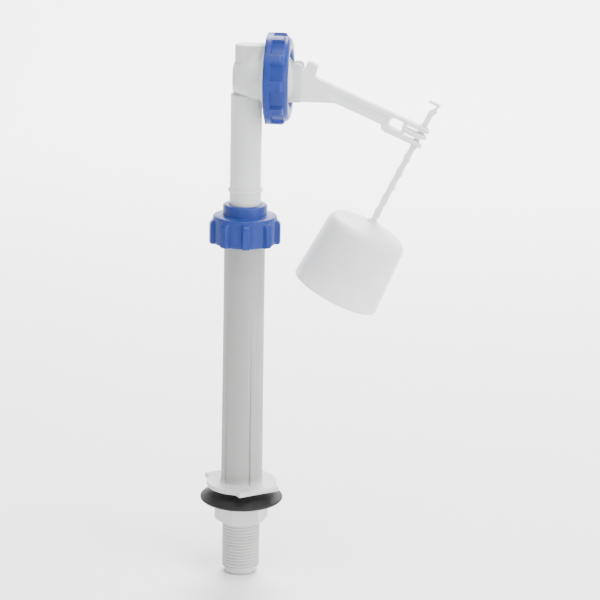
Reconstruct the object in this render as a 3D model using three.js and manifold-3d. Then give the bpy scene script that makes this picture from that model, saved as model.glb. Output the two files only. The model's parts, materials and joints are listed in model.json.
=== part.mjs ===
// Toilet fill valve: a height-adjustable bottom-entry valve with a diaphragm head and a small float cup.
// Millimetres, +Z up. The origin is on the column's axis at the underside of the flange that sits on the
// cistern floor. +X points along the float arm.

import * as THREE from 'three';
import { mergeVertices } from 'three/addons/utils/BufferGeometryUtils.js';
import Module from 'manifold-3d';

const wasm = await Module();
wasm.setup();

// ---- driving dimensions ----

const GAP = 0.3; // clearance between pieces that touch on the real valve

// threaded tail, a G 1/2 parallel pipe thread
const THREAD_CREST_R = 20.955 / 2;
const THREAD_ROOT_R = 18.631 / 2;
const THREAD_PITCH = 1.814;
const THREAD_TURNS = 24;
const TAIL_END_Z = -50;
const TAIL_BORE_R = 7;

// flange that stands on the cistern floor
const FLANGE_R = 19.35;
const FLANGE_T = 2.7;
const TAB_REACH = 19.7;
const TAB_WIDTH = 24.6;

// ribbed column
const RIB_ANGLE = 36;
const RIB_WIDTH = 2.8;
const RIB_TOP_Z = 97;
const COLUMN_FOOT_R = 11.45;
const COLUMN_R = 11.1;
const RIB_FOOT_R = 12.45;
const COLUMN_BORE_R = 9.3;
const COLUMN_TOP_Z = 150;
const COLUMN_THREAD_CREST_R = 12.4;
const COLUMN_THREAD_PITCH = 2.5;

// seal washer and backnut on the tail
const WASHER_R = 22.8;
const BACKNUT_FLATS = 26;
const BACKNUT_BOTTOM_Z = -19.8;
const BACKNUT_TOP_Z = -10.3;

// collar nut
const COLLAR_BOTTOM_Z = 138;
const COLLAR_TOP_Z = 159.3;
const COLLAR_R = 17.3;
const COLLAR_RIB_R = 19.4;
const COLLAR_NECK_R = 12;
const COLLAR_RIBS = 9;
const COLLAR_RIB_ANGLE = -81;

// riser and head
const RISER_BOTTOM_Z = 22;
const RISER_R = 8.45;
const RISER_BORE_R = 7.0;
const STOP_RING_Z = 166.3;
const HEAD_TOP_Z = 245.6;
const CAP_AXIS_Z = 227.6;
const BARREL_R = 12.2;
const HEAD_HALF_Y = 6.4;
const DISH_R = 19.3;
const DISH_REAR_X = 10.1;
const DISH_FRONT_X = 12.6;
const SEAT_TIP_X = 11.3;

// standpipe and supply tube
const STANDPIPE_TOP_Z = 85;
const STANDPIPE_R = 6.2;
const STANDPIPE_BORE_R = 5.2;
const SUPPLY_R = 4.5;
const SUPPLY_BORE_R = 3.0;
const SUPPLY_BOTTOM_Z = 10;

// cap nut, turned about the X axis
const CAP_REAR_X = 10.8;
const CAP_FRONT_X = 23.7;
const CAP_R = 24.3;
const CAP_VALLEY_R = 22.6;
const CAP_HOLE_R = 15.5;
const CAP_RIBS = 10;
const CAP_RIB_ANGLE = 1.5;

// cover over the diaphragm
const COVER_R = 19.2;
const COVER_REAR_X = 14.6;
const COVER_PLATE_X = 18.9;
const COVER_FRONT_X = 20.4;
const EAR_INNER_Y = 3.6;
const EAR_OUTER_Y = 6;
const EAR_TOP = { x: 27.2, z: 233.9, r: 2.95 }; // the rounded top of each ear

// float arm: a straight lever that slopes down from a root between the cover's ears
const PIVOT_X = 26.3;
const PIVOT_Z = 219.4;
const PIVOT_R = 1.2;
const PIN_HALF_LENGTH = 4.9;
const PILOT_Z = 229.4;
const PILOT_TIP_X = 20.6;
const PAD_R = 2.2;
const ARM_SLOPE = 23.2;
const ARM_HALF_Y = 3.1;
const ARM_TOP = { x: 36.2, z: 229.4 }; // where the lever's top edge starts
const ARM_DEPTH = 8;
const RAIL_DEPTH = 10.8;
const ARM_LENGTH = 67.2;
const ROOT_BOTTOM_Z = 216;
const CLOSING_ANGLE = 13;

// float and its stem
const STEM_TILT = 26;
const FLOAT_APEX = { x: 68.8, z: 152.1 };
const STEM_LENGTH = 68.2;
const STEM_HALF_WIDTH = 1.5;
const STEM_HALF_Y = 1.2;
const STEM_WAY = 2.5; // half the slot in the arm that the toothed stem slides in
const TOOTH_DEPTH = 0.65;
const TOOTH_PITCH = 8.4;
const FIRST_TOOTH = 3.4;
const FLOAT_TOP_R = 22.1;
const FLOAT_RIM_R = 24.3;
const FLOAT_HEIGHT = 44;
const FLOAT_WALL = 1.3;

// sides on a round surface
const RIBBED_NUT = 36; // a multiple of the collar nut's ribs
const RIBBED_CAP = 40; // a multiple of the cap's ribs
const FINE = 32;
const MEDIUM = 24;
const SMALL = 12;

const radians = THREE.MathUtils.degToRad;

// ---- geometry helpers ----

// A closed three.js geometry as a solid that can be joined and cut.
function solid(geometry) {
  const bare = geometry.clone();
  bare.deleteAttribute('normal');
  bare.deleteAttribute('uv');
  const merged = mergeVertices(bare, 1e-4);
  const position = merged.getAttribute('position');
  const index = merged.getIndex().array;
  const triangles = [];
  for (let i = 0; i < index.length; i += 3) {
    const [a, b, c] = [index[i], index[i + 1], index[i + 2]];
    if (a !== b && b !== c && c !== a) {
      triangles.push(a, b, c);
    }
  }
  if (signedVolume(position, triangles) < 0) {
    triangles.reverse();
  }
  return new wasm.Manifold(new wasm.Mesh({
    numProp: 3,
    vertProperties: new Float32Array(position.array),
    triVerts: new Uint32Array(triangles),
  }));
}

function signedVolume(position, triangles) {
  const corners = [new THREE.Vector3(), new THREE.Vector3(), new THREE.Vector3()];
  let volume = 0;
  for (let i = 0; i < triangles.length; i += 3) {
    corners.forEach((corner, k) => corner.fromBufferAttribute(position, triangles[i + k]));
    volume += corners[0].dot(corners[1].clone().cross(corners[2])) / 6;
  }
  return volume;
}

function geometryOf(manifold) {
  const mesh = manifold.getMesh();
  const geometry = new THREE.BufferGeometry();
  geometry.setAttribute('position', new THREE.Float32BufferAttribute(mesh.vertProperties, 3));
  geometry.setIndex(Array.from(mesh.triVerts));
  geometry.computeVertexNormals();
  return geometry;
}

// A profile of [radius, height] points turned about the Z axis.
function turned(profile, segments = FINE) {
  const points = profile.map(([radius, height]) => new THREE.Vector2(radius, height));
  const geometry = new THREE.LatheGeometry(points, segments);
  geometry.rotateX(Math.PI / 2);
  return solid(geometry);
}

// A profile of [radius, x] points turned about the cap's axis, which runs along +X.
function turnedOnCapAxis(profile, segments = FINE) {
  const points = profile.map(([radius, along]) => new THREE.Vector2(radius, along));
  const geometry = new THREE.LatheGeometry(points, segments);
  geometry.rotateZ(-Math.PI / 2);
  geometry.translate(0, 0, CAP_AXIS_Z);
  return solid(geometry);
}

function box(low, high) {
  const geometry = new THREE.BoxGeometry(high[0] - low[0], high[1] - low[1], high[2] - low[2]);
  geometry.translate((low[0] + high[0]) / 2, (low[1] + high[1]) / 2, (low[2] + high[2]) / 2);
  return solid(geometry);
}

// A box whose own X runs outwards at an angle about the Z axis.
function radialBox(angle, innerR, outerR, width, lowZ, highZ) {
  const geometry = new THREE.BoxGeometry(outerR - innerR, width, highZ - lowZ);
  geometry.translate((innerR + outerR) / 2, 0, (lowZ + highZ) / 2);
  geometry.rotateZ(radians(angle));
  return solid(geometry);
}

// An outline of [x, z] points made into a plate between two Y values.
function plate(outline, lowY, highY) {
  const shape = new THREE.Shape(outline.map(([x, z]) => new THREE.Vector2(x, z)));
  const geometry = new THREE.ExtrudeGeometry(shape, { depth: highY - lowY, bevelEnabled: false });
  geometry.rotateX(Math.PI / 2);
  geometry.translate(0, highY, 0);
  return solid(geometry);
}

// A round bar between two points.
function bar(from, to, radius, segments = SMALL) {
  const start = new THREE.Vector3(...from);
  const end = new THREE.Vector3(...to);
  const along = end.clone().sub(start);
  const geometry = new THREE.CylinderGeometry(radius, radius, along.length(), segments);
  geometry.translate(0, along.length() / 2, 0);
  const turn = new THREE.Quaternion().setFromUnitVectors(new THREE.Vector3(0, 1, 0), along.normalize());
  geometry.applyQuaternion(turn);
  geometry.translate(start.x, start.y, start.z);
  return solid(geometry);
}

// Points on an arc, from one angle to another in degrees.
function arc(centreA, centreB, radius, fromAngle, toAngle, steps) {
  const points = [];
  for (let i = 0; i <= steps; i += 1) {
    const angle = radians(fromAngle + (toAngle - fromAngle) * i / steps);
    points.push([centreA + radius * Math.cos(angle), centreB + radius * Math.sin(angle)]);
  }
  return points;
}

// The ridges of a thread as rings, for use inside a turned profile.
function threadRings(startZ, pitch, turns, rootR, crestR) {
  const points = [];
  for (let i = 0; i < turns; i += 1) {
    points.push([rootR, startZ + i * pitch], [crestR, startZ + (i + 0.5) * pitch]);
  }
  points.push([rootR, startZ + turns * pitch]);
  return points;
}

function united(solids) {
  return solids.reduce((whole, piece) => whole.add(piece));
}

// A point on the float arm: u along its top edge from the root, v square to it and up.
function onArm(u, v) {
  const slope = radians(ARM_SLOPE);
  return [
    ARM_TOP.x + u * Math.cos(slope) + v * Math.sin(slope),
    ARM_TOP.z - u * Math.sin(slope) + v * Math.cos(slope),
  ];
}

function armPlate(outline, halfY = ARM_HALF_Y) {
  return plate(outline.map(([u, v]) => onArm(u, v)), -halfY, halfY);
}

// A point on the stem: w across it and s up it from the top of the float.
function onStem(w, s) {
  const tilt = radians(STEM_TILT);
  return [
    FLOAT_APEX.x + s * Math.sin(tilt) + w * Math.cos(tilt),
    FLOAT_APEX.z + s * Math.cos(tilt) - w * Math.sin(tilt),
  ];
}

// A solid made about the Z axis with the float's top at the origin, moved onto the stem's axis.
function placeOnStem(manifold) {
  const turn = new THREE.Matrix4().makeRotationY(radians(STEM_TILT));
  const move = new THREE.Matrix4().makeTranslation(FLOAT_APEX.x, 0, FLOAT_APEX.z);
  const geometry = geometryOf(manifold);
  geometry.applyMatrix4(move.multiply(turn));
  return solid(geometry);
}

// ---- pieces fixed to the cistern ----

// Threaded tail, flange and ribbed column are one moulding.
function lowerColumn() {
  const threadStart = TAIL_END_Z + 1.5;
  const tail = turned([
    [0, TAIL_END_Z],
    [THREAD_ROOT_R - 0.4, TAIL_END_Z],
    ...threadRings(threadStart, THREAD_PITCH, THREAD_TURNS, THREAD_ROOT_R, THREAD_CREST_R),
    [THREAD_ROOT_R, 1],
    [0, 1],
  ], MEDIUM);
  const topThreadZ = COLLAR_BOTTOM_Z + 1;
  const column = turned([
    [0, 0],
    [FLANGE_R, 0],
    [FLANGE_R, FLANGE_T],
    [COLUMN_FOOT_R, FLANGE_T],
    [COLUMN_R, RIB_TOP_Z],
    [COLUMN_R, topThreadZ],
    ...threadRings(topThreadZ, COLUMN_THREAD_PITCH, 4, COLUMN_R, COLUMN_THREAD_CREST_R),
    [COLUMN_R, COLUMN_TOP_Z],
    [0, COLUMN_TOP_Z],
  ]);
  const tabs = new THREE.BoxGeometry(2 * TAB_REACH, TAB_WIDTH, FLANGE_T);
  tabs.translate(0, 0, FLANGE_T / 2);
  tabs.rotateZ(radians(RIB_ANGLE - 90));
  const pieces = [tail, column, solid(tabs)];
  for (let i = 0; i < 4; i += 1) {
    pieces.push(columnRib(RIB_ANGLE + 90 * i));
  }
  const bore = turned([
    [0, TAIL_END_Z - 1],
    [TAIL_BORE_R, TAIL_END_Z - 1],
    [TAIL_BORE_R, 3],
    [COLUMN_BORE_R, 3],
    [COLUMN_BORE_R, COLUMN_TOP_Z - 4],
    [10.6, COLUMN_TOP_Z],
    [10.6, COLUMN_TOP_Z + 1],
    [0, COLUMN_TOP_Z + 1],
  ], MEDIUM);
  // two discharge windows at the foot, in the panels away from the arm
  const windows = [45, 122].map((offset) => radialBox(RIB_ANGLE + offset, 8, 14, 8, 5.5, 14.5));
  return united(pieces).subtract(bore).subtract(united(windows));
}

function columnRib(angle) {
  const lowZ = FLANGE_T - 0.5;
  const outline = [[10, lowZ], [RIB_FOOT_R, lowZ], [COLUMN_R, RIB_TOP_Z], [10, RIB_TOP_Z]];
  const shape = new THREE.Shape(outline.map(([r, z]) => new THREE.Vector2(r, z)));
  const geometry = new THREE.ExtrudeGeometry(shape, { depth: RIB_WIDTH, bevelEnabled: false });
  geometry.translate(0, 0, -RIB_WIDTH / 2);
  geometry.rotateX(Math.PI / 2);
  geometry.rotateZ(radians(angle));
  return solid(geometry);
}

// Inner tube that rises from the tail: the supply tube telescopes inside it.
function standpipe() {
  return turned([
    [STANDPIPE_BORE_R, -8],
    [TAIL_BORE_R - GAP, -8],
    [TAIL_BORE_R - GAP, 3 + GAP],
    [8.6, 3 + GAP],
    [8.6, 5],
    [STANDPIPE_R, 5],
    [STANDPIPE_R, STANDPIPE_TOP_Z],
    [STANDPIPE_BORE_R, STANDPIPE_TOP_Z],
    [STANDPIPE_BORE_R, -8],
  ], MEDIUM);
}

// Basket strainer in the mouth of the tail, open at the bottom.
function inletFilter() {
  const outerR = TAIL_BORE_R - GAP;
  const cup = turned([
    [outerR - 0.9, -44],
    [outerR, -44],
    [outerR, -42.5],
    [5.4, -41.5],
    [5.0, -31],
    [0, -31],
    [0, -31.8],
    [4.2, -31.8],
    [outerR - 1.9, -42],
    [outerR - 0.9, -44],
  ], MEDIUM);
  const slots = [];
  for (let i = 0; i < 3; i += 1) {
    slots.push(radialBox(60 * i, -8, 8, 1.6, -40.5, -33));
  }
  return cup.subtract(united(slots));
}

function flowRestrictor() {
  return turned([
    [1.6, -28],
    [TAIL_BORE_R - GAP, -28],
    [TAIL_BORE_R - GAP, -23],
    [4, -23],
    [1.6, -26],
    [1.6, -28],
  ], MEDIUM);
}

// ---- seal washer and backnut ----

// Cone washer in rubber: its thick middle reaches up to the flange and its face falls away to a thin rim.
function sealWasher() {
  const boreR = THREAD_CREST_R + GAP;
  return turned([
    [boreR, -10],
    [15.6, -10],
    [WASHER_R - 1.2, -8.2],
    ...arc(WASHER_R - 1.15, -7.05, 1.15, -60, 70, 5),
    [17.4, -3.4],
    [14.2, -GAP],
    [boreR, -GAP],
    [boreR, -10],
  ]);
}

function backnut() {
  const cornerR = BACKNUT_FLATS / 2 / Math.cos(Math.PI / 6);
  const hexagon = new THREE.CylinderGeometry(cornerR, cornerR, BACKNUT_TOP_Z - BACKNUT_BOTTOM_Z, 6);
  hexagon.rotateX(Math.PI / 2);
  hexagon.translate(0, 0, (BACKNUT_TOP_Z + BACKNUT_BOTTOM_Z) / 2);
  hexagon.rotateZ(radians(-15));
  const chamfered = turned([
    [0, BACKNUT_BOTTOM_Z],
    [13.6, BACKNUT_BOTTOM_Z],
    [15.2, BACKNUT_BOTTOM_Z + 1],
    [15.2, BACKNUT_TOP_Z - 1],
    [13.6, BACKNUT_TOP_Z],
    [0, BACKNUT_TOP_Z],
  ], MEDIUM);
  const bore = turned([
    [0, BACKNUT_BOTTOM_Z - 1],
    [THREAD_CREST_R + GAP, BACKNUT_BOTTOM_Z - 1],
    [THREAD_CREST_R + GAP, BACKNUT_TOP_Z + 1],
    [0, BACKNUT_TOP_Z + 1],
  ], MEDIUM);
  return solid(hexagon).intersect(chamfered).subtract(bore);
}

// ---- collar nut and grip collet: they clamp the riser at its height ----

function gripCollet() {
  const boreR = RISER_R + GAP;
  const ring = turned([
    [boreR, COLUMN_TOP_Z - 3.8],
    [9.05, COLUMN_TOP_Z - 3.8],
    [10.2, COLUMN_TOP_Z + GAP],
    [11.2, COLUMN_TOP_Z + GAP],
    [11.2, COLUMN_TOP_Z + 1.1],
    [9.6, COLUMN_TOP_Z + 5.2],
    [boreR, COLUMN_TOP_Z + 5.2],
    [boreR, COLUMN_TOP_Z - 3.8],
  ], MEDIUM);
  return ring.subtract(radialBox(180, 6, 14, 1.4, COLUMN_TOP_Z - 5, COLUMN_TOP_Z + 8));
}

function collarNut() {
  const ribTop = COLLAR_BOTTOM_Z + 13.2;
  const shoulderZ = COLLAR_BOTTOM_Z + 13.1;
  const body = turned([
    [0, COLLAR_BOTTOM_Z],
    [COLLAR_R, COLLAR_BOTTOM_Z],
    [COLLAR_R, shoulderZ],
    ...arc(COLLAR_R - 2, shoulderZ, 2, 25, 90, 3),
    [COLLAR_NECK_R + 0.2, shoulderZ + 2.3],
    [COLLAR_NECK_R, shoulderZ + 2.7],
    ...arc(COLLAR_NECK_R - 1.4, COLLAR_TOP_Z - 1.4, 1.4, 0, 90, 3),
    [0, COLLAR_TOP_Z],
  ], RIBBED_NUT);
  const envelope = turned([
    [0, COLLAR_BOTTOM_Z],
    [COLLAR_RIB_R, COLLAR_BOTTOM_Z],
    ...arc(COLLAR_RIB_R - 3, ribTop - 3, 3, 0, 90, 4),
    [0, ribTop],
  ], RIBBED_NUT);
  const ribs = [];
  for (let i = 0; i < COLLAR_RIBS; i += 1) {
    const angle = COLLAR_RIB_ANGLE + 360 * i / COLLAR_RIBS;
    ribs.push(radialBox(angle, 15, 21, 4.5, COLLAR_BOTTOM_Z - 1, COLLAR_BOTTOM_Z + 15));
  }
  const bore = turned([
    [0, COLLAR_BOTTOM_Z - 1],
    [COLUMN_THREAD_CREST_R + 0.35, COLLAR_BOTTOM_Z - 1],
    [COLUMN_THREAD_CREST_R + 0.35, COLUMN_TOP_Z + 0.8],
    [11.6, COLUMN_TOP_Z + 1.3],
    [9.95, COLUMN_TOP_Z + 5.5],
    [RISER_R + GAP, COLUMN_TOP_Z + 6],
    [RISER_R + GAP, COLLAR_TOP_Z + 1],
    [0, COLLAR_TOP_Z + 1],
  ], MEDIUM);
  return body.add(united(ribs).intersect(envelope)).subtract(bore);
}

// ---- riser, head and what they hold ----

// Riser tube and valve head in one moulding. Water comes up the supply tube, turns through the seat
// nozzle, spills over its tip into the barrel and runs down the jacket round the supply tube.
function riserHead() {
  const tube = turned([
    [0, RISER_BOTTOM_Z],
    [RISER_R, RISER_BOTTOM_Z],
    [RISER_R, RISER_BOTTOM_Z + 2],
    [7.9, RISER_BOTTOM_Z + 2],
    [7.9, RISER_BOTTOM_Z + 6],
    [RISER_R, RISER_BOTTOM_Z + 6],
    [RISER_R, STOP_RING_Z],
    [9.3, STOP_RING_Z + 0.3],
    [9.3, STOP_RING_Z + 1.5],
    [8.35, STOP_RING_Z + 1.9],
    [8.35, 218.4],
    [6.9, 220],
    [HEAD_HALF_Y, 240],
    ...arc(HEAD_HALF_Y - 1.4, HEAD_TOP_Z - 1.4, 1.4, 0, 90, 4),
    [0, HEAD_TOP_Z],
  ], MEDIUM);
  const neck = headNeck();
  const barrel = turnedOnCapAxis([
    [0, -6.9],
    [7.6, -6.9],
    [8.4, -6.2],
    [9.3, -4.4],
    [BARREL_R - 1.3, -1.4],
    [BARREL_R - 0.2, 1.6],
    [BARREL_R, 4],
    [BARREL_R, 8.6],
    [DISH_R - 1.5, DISH_REAR_X - 0.4],
    [DISH_R, DISH_REAR_X],
    [DISH_R, DISH_FRONT_X],
    [0, DISH_FRONT_X],
  ]);
  const jacket = turned([
    [0, RISER_BOTTOM_Z - 1],
    [RISER_BORE_R, RISER_BOTTOM_Z - 1],
    [RISER_BORE_R, 196],
    [6.6, 200],
    [6.6, 213.5],
    [0, 213.5],
  ], MEDIUM);
  const barrelBore = turnedOnCapAxis([
    [0, 1],
    [8.3, 1],
    [8.3, 10.9],
    [15.5, 10.9],
    [15.5, DISH_FRONT_X + 1],
    [0, DISH_FRONT_X + 1],
  ], MEDIUM);
  const pillar = turned([[0, 212], [5.3, 212], [5.3, 232], [0, 232]], MEDIUM);
  const nozzleProfile = [[0, 0], [4.2, 0], [4.2, 10.6], [3.6, SEAT_TIP_X], [0, SEAT_TIP_X]];
  const nozzle = turnedOnCapAxis(nozzleProfile, MEDIUM);
  const waterways = united([barrelBore, dischargeSlot()]).subtract(pillar.add(nozzle));
  const supplyWay = turned([[0, 212], [4.2, 212], [4.2, 219.5], [2.8, 219.5], [2.8, 229], [0, 229]], SMALL);
  const nozzleWay = turnedOnCapAxis([[0, 0], [2.7, 0], [2.7, SEAT_TIP_X + 1], [0, SEAT_TIP_X + 1]], SMALL);
  return tube.add(neck).add(barrel).subtract(jacket).subtract(waterways).subtract(supplyWay.add(nozzleWay));
}

// The head's upper half runs straight forward from the tube to the dish behind the cap.
function headNeck() {
  const outline = [
    [-HEAD_HALF_Y, HEAD_TOP_Z - 26],
    [HEAD_HALF_Y, HEAD_TOP_Z - 26],
    ...arc(HEAD_HALF_Y - 1.4, HEAD_TOP_Z - 1.4, 1.4, 0, 90, 4),
    ...arc(1.4 - HEAD_HALF_Y, HEAD_TOP_Z - 1.4, 1.4, 90, 180, 4),
  ];
  const shape = new THREE.Shape(outline.map(([y, z]) => new THREE.Vector2(y, z)));
  const geometry = new THREE.ExtrudeGeometry(shape, { depth: DISH_REAR_X + 0.1, bevelEnabled: false });
  geometry.rotateX(Math.PI / 2);
  geometry.rotateZ(Math.PI / 2);
  return solid(geometry);
}

// Crescent passage beside the supply tube's socket, from the barrel down into the jacket.
function dischargeSlot() {
  const outline = [...arc(0, 0, 6.6, -60, 60, 8), ...arc(0, 0, 5.2, 60, -60, 8)];
  const shape = new THREE.Shape(outline.map(([x, y]) => new THREE.Vector2(x, y)));
  const geometry = new THREE.ExtrudeGeometry(shape, { depth: 9, bevelEnabled: false });
  geometry.translate(0, 0, 213);
  return solid(geometry);
}

function supplyTube() {
  return turned([
    [SUPPLY_BORE_R, SUPPLY_BOTTOM_Z],
    [SUPPLY_R, SUPPLY_BOTTOM_Z],
    [SUPPLY_R, SUPPLY_BOTTOM_Z + 2],
    [3.9, SUPPLY_BOTTOM_Z + 2],
    [3.9, SUPPLY_BOTTOM_Z + 4.6],
    [SUPPLY_R, SUPPLY_BOTTOM_Z + 4.6],
    [SUPPLY_R, 211],
    [3.9, 211.6],
    [3.9, 219],
    [SUPPLY_BORE_R, 219],
    [SUPPLY_BORE_R, SUPPLY_BOTTOM_Z],
  ], MEDIUM);
}

// Ring seal in the supply tube's groove, sliding in the standpipe.
function supplySeal() {
  const middle = SUPPLY_BOTTOM_Z + 3.3;
  return turned([
    [4.2, middle - 0.6],
    [4.5, middle - 0.95],
    [4.88, middle - 0.4],
    [4.88, middle + 0.4],
    [4.5, middle + 0.95],
    [4.2, middle + 0.6],
    [4.2, middle - 0.6],
  ], MEDIUM);
}

// Split ring in the riser's bottom groove that keeps it central in the column.
function riserGuideRing() {
  const low = RISER_BOTTOM_Z + 2 + GAP;
  const high = RISER_BOTTOM_Z + 6 - GAP;
  const ring = turned([[8.2, low], [9.0, low], [9.0, high], [8.2, high], [8.2, low]], MEDIUM);
  return ring.subtract(radialBox(90, 6, 12, 1.2, low - 1, high + 1));
}

// Rubber servo diaphragm, clamped at its rim and gripped at its centre by the metering bush.
function diaphragm() {
  return turnedOnCapAxis([
    [2.7, 13.8],
    [6.5, 13.8],
    [8.5, 13.3],
    [12.5, 13.3],
    [14.8, 12.9],
    [18.4, 12.9],
    [18.4, 14.3],
    [13.8, 14.3],
    [12.0, 14.6],
    [9.0, 14.6],
    [7.0, 15.0],
    [2.7, 15.0],
    [2.7, 13.8],
  ], MEDIUM);
}

// Moulded bush in the diaphragm's centre with the bleed hole that refills the pressure chamber.
function meteringBush() {
  return turnedOnCapAxis([
    [0.85, 12.8],
    [4.5, 12.8],
    [4.5, 13.5],
    [2.4, 13.5],
    [2.4, 15.3],
    [4.0, 15.3],
    [4.0, 15.9],
    [0.85, 15.9],
    [0.85, 12.8],
  ], MEDIUM);
}

// Fine wire through the bleed hole that meters it and keeps it clear.
function meteringPin() {
  return bar([12.2, 0, CAP_AXIS_Z], [18.3, 0, CAP_AXIS_Z], 0.5);
}

// ---- cover and cap nut ----

// Domed cover that closes the pressure chamber. A slot across the dome holds the pilot nozzle and the arm's
// root, with a pivot ear on each side of it.
function diaphragmCover() {
  const disc = turnedOnCapAxis([
    [0, 17.3],
    [14.6, 17.3],
    [14.8, COVER_REAR_X],
    [COVER_R, COVER_REAR_X],
    [COVER_R, COVER_FRONT_X],
    [15.0, COVER_FRONT_X],
    [15.0, COVER_PLATE_X],
    [0, COVER_PLATE_X],
  ]);
  const earOutline = [
    [18.4, ROOT_BOTTOM_Z],
    ...arc(EAR_TOP.x + EAR_TOP.r - 2.4, ROOT_BOTTOM_Z + 2.4, 2.4, -90, 0, 4),
    ...arc(EAR_TOP.x, EAR_TOP.z, EAR_TOP.r, 0, 180, 8),
    [EAR_TOP.x - EAR_TOP.r, ROOT_BOTTOM_Z + 15.5],
    [18.4, ROOT_BOTTOM_Z + 15.5],
  ];
  const nearEar = plate(earOutline, -EAR_OUTER_Y, -EAR_INNER_Y);
  const farEar = plate(earOutline, EAR_INNER_Y, EAR_OUTER_Y);
  const pilotNozzle = bar([18.4, 0, PILOT_Z], [PILOT_TIP_X, 0, PILOT_Z], 1.7);
  const pilotHole = bar([16, 0, PILOT_Z], [22, 0, PILOT_Z], 0.6);
  const pocketY = PIN_HALF_LENGTH + GAP;
  const pinPockets = bar([PIVOT_X, -pocketY, PIVOT_Z], [PIVOT_X, pocketY, PIVOT_Z], PIVOT_R + GAP);
  const wireHole = bar([17, 0, CAP_AXIS_Z], [18.6, 0, CAP_AXIS_Z], 0.5 + GAP);
  const shell = disc.add(coverDome()).subtract(domeHollow());
  const holes = united([pilotHole, pinPockets, wireHole]);
  return united([shell, nearEar, farEar, pilotNozzle]).subtract(holes);
}

function coverDome() {
  const dome = turnedOnCapAxis([
    [0, 18],
    [14.6, 18],
    [14.4, 19.8],
    [13.2, 21.2],
    [11.8, 22.4],
    [9.9, 23.7],
    [8.2, 24.8],
    [6.5, 25.2],
    [0, 25.2],
  ]);
  const slot = box([COVER_PLATE_X, -EAR_INNER_Y, CAP_AXIS_Z - 16], [27, EAR_INNER_Y, CAP_AXIS_Z + 16]);
  return dome.subtract(slot);
}

// The dome is hollow on both sides of its slot, open to the pressure chamber.
function domeHollow() {
  const hollow = turnedOnCapAxis([
    [0, 16],
    [13.0, 16],
    [12.8, 19.2],
    [11.7, 20.4],
    [10.3, 21.6],
    [8.6, 22.8],
    [7.0, 23.6],
    [0, 23.6],
  ]);
  const wallY = EAR_INNER_Y + 1.4;
  return hollow.subtract(box([15, -wallY, CAP_AXIS_Z - 16], [27, wallY, CAP_AXIS_Z + 16]));
}

// The pin sits in blind pockets in the two ears, so nothing of it shows outside.
function pivotPin() {
  return bar([PIVOT_X, -PIN_HALF_LENGTH, PIVOT_Z], [PIVOT_X, PIN_HALF_LENGTH, PIVOT_Z], PIVOT_R);
}

function capNut() {
  const body = turnedOnCapAxis([
    [0, CAP_REAR_X],
    [CAP_R - 0.8, CAP_REAR_X],
    [CAP_R, CAP_REAR_X + 0.8],
    [CAP_R, CAP_REAR_X + 3.6],
    [CAP_VALLEY_R, CAP_REAR_X + 3.9],
    [CAP_VALLEY_R, CAP_FRONT_X - 2.6],
    ...arc(CAP_VALLEY_R - 2.6, CAP_FRONT_X - 2.6, 2.6, 20, 90, 4),
    [0, CAP_FRONT_X],
  ], RIBBED_CAP);
  const envelope = turnedOnCapAxis([
    [0, CAP_REAR_X + 1],
    [CAP_R, CAP_REAR_X + 1],
    ...arc(CAP_R - 2, CAP_REAR_X + 8.4, 2, 0, 90, 4),
    [0, CAP_REAR_X + 10.4],
  ], RIBBED_CAP);
  const ribs = [];
  for (let i = 0; i < CAP_RIBS; i += 1) {
    ribs.push(capRib(CAP_RIB_ANGLE + 360 * i / CAP_RIBS));
  }
  const bore = turnedOnCapAxis([
    [0, CAP_REAR_X - 1],
    [DISH_R + 0.5, CAP_REAR_X - 1],
    [DISH_R + 0.5, COVER_FRONT_X + GAP],
    [CAP_HOLE_R, COVER_FRONT_X + GAP],
    [CAP_HOLE_R, CAP_FRONT_X + 1],
    [0, CAP_FRONT_X + 1],
  ]);
  return body.add(united(ribs).intersect(envelope)).subtract(bore);
}

function capRib(angle) {
  const geometry = new THREE.BoxGeometry(16, 6, 5.6);
  geometry.translate(CAP_REAR_X + 5, 22.5, 0);
  geometry.rotateX(radians(angle));
  geometry.translate(0, 0, CAP_AXIS_Z);
  return solid(geometry);
}

// ---- float arm ----

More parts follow.
